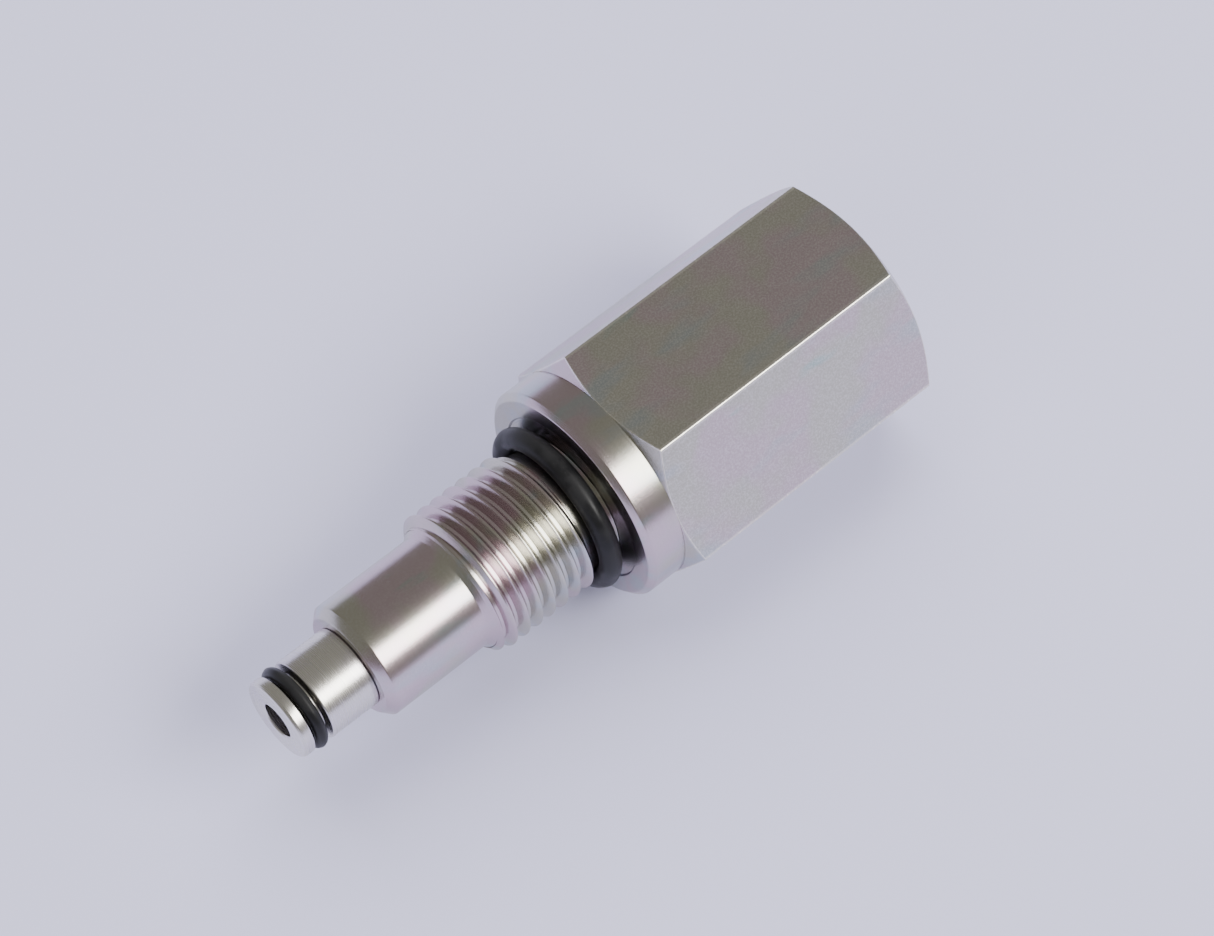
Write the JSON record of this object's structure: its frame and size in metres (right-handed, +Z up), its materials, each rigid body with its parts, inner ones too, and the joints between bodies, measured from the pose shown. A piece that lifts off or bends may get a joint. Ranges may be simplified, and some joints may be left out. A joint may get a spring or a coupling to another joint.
{
  "type": "cartridge relief valve",
  "caption": "Small screw-in cartridge valve: long hex head, sealing collar, port thread, stepped round nose with seals, spring-loaded poppet and recessed adjuster.",
  "frame": {"origin": "below the middle of the valve's length, on the surface that its lowest hex flat rests on", "axes": "+X along the valve's axis from the nose to the hex end, +Z up with one hex flat on top and one below"},
  "size_m": [0.0582, 0.022, 0.0191],
  "materials": {
    "plated_steel": "bright zinc plate with a faint iridescent passivation, satin turned marks and drawn-bar grain on the hex flats",
    "seat_steel": "bright zinc plate, fine turned marks",
    "hard_steel": "ground hardened steel",
    "spring_steel": "drawn spring wire",
    "nut_steel": "bright zinc plate",
    "seal_rubber": "black nitrile rubber, satin, slightly oily",
    "backup_plastic": "cream PTFE"
  },
  "bodies": {
    "housing": {"valve_body": "plated_steel", "nose_seat": "seat_steel", "nose_o_ring": "seal_rubber", "port_o_ring": "seal_rubber", "seat_o_ring": "seal_rubber", "seat_backup_ring": "backup_plastic", "main_spring": "spring_steel", "end_plug": "nut_steel", "end_plug_o_ring": "seal_rubber", "end_plug_backup_ring": "backup_plastic"},
    "poppet": {"poppet": "hard_steel", "front_spring_seat": "hard_steel"},
    "spring_button": {"rear_spring_seat": "hard_steel", "preload_shim_1": "spring_steel", "preload_shim_2": "spring_steel", "thrust_ball": "hard_steel"},
    "adjusting_screw": {"adjusting_screw": "hard_steel", "adjuster_o_ring": "seal_rubber", "adjuster_backup_ring": "backup_plastic"},
    "lock_washer": {"lock_washer": "spring_steel"},
    "lock_nut": {"lock_nut": "nut_steel"}
  },
  "joints": [
    {"name": "poppet_lift", "type": "slide", "parent": "housing", "child": "poppet", "axis": [1, 0, 0], "range_m": [0, 0.0008], "stiffness_N_per_m": 1500, "springref_m": -0.004, "deforming": ["main_spring"]},
    {"name": "adjuster_travel", "type": "slide", "parent": "housing", "child": "spring_button", "axis": [1, 0, 0], "range_m": [-0.002, 0.001], "deforming": ["main_spring"]},
    {"name": "adjuster_turn", "type": "hinge", "parent": "spring_button", "child": "adjusting_screw", "pos_m": [0.0235, 0, 0.00953], "axis": [1, 0, 0], "range_deg": [-721, 361]},
    {"name": "lock_nut_travel", "type": "slide", "parent": "housing", "child": "lock_washer", "axis": [1, 0, 0], "range_m": [0, 0.001]},
    {"name": "lock_nut_turn", "type": "hinge", "parent": "lock_washer", "child": "lock_nut", "pos_m": [0.0215, 0, 0.00953], "axis": [1, 0, 0], "range_deg": [0, 361]}
  ],
  "couplings": [
    {"joint": "adjuster_turn", "follows": "adjuster_travel", "rad_per_m": 6283.2},
    {"joint": "lock_nut_turn", "follows": "lock_nut_travel", "rad_per_m": 6283.2}
  ]
}
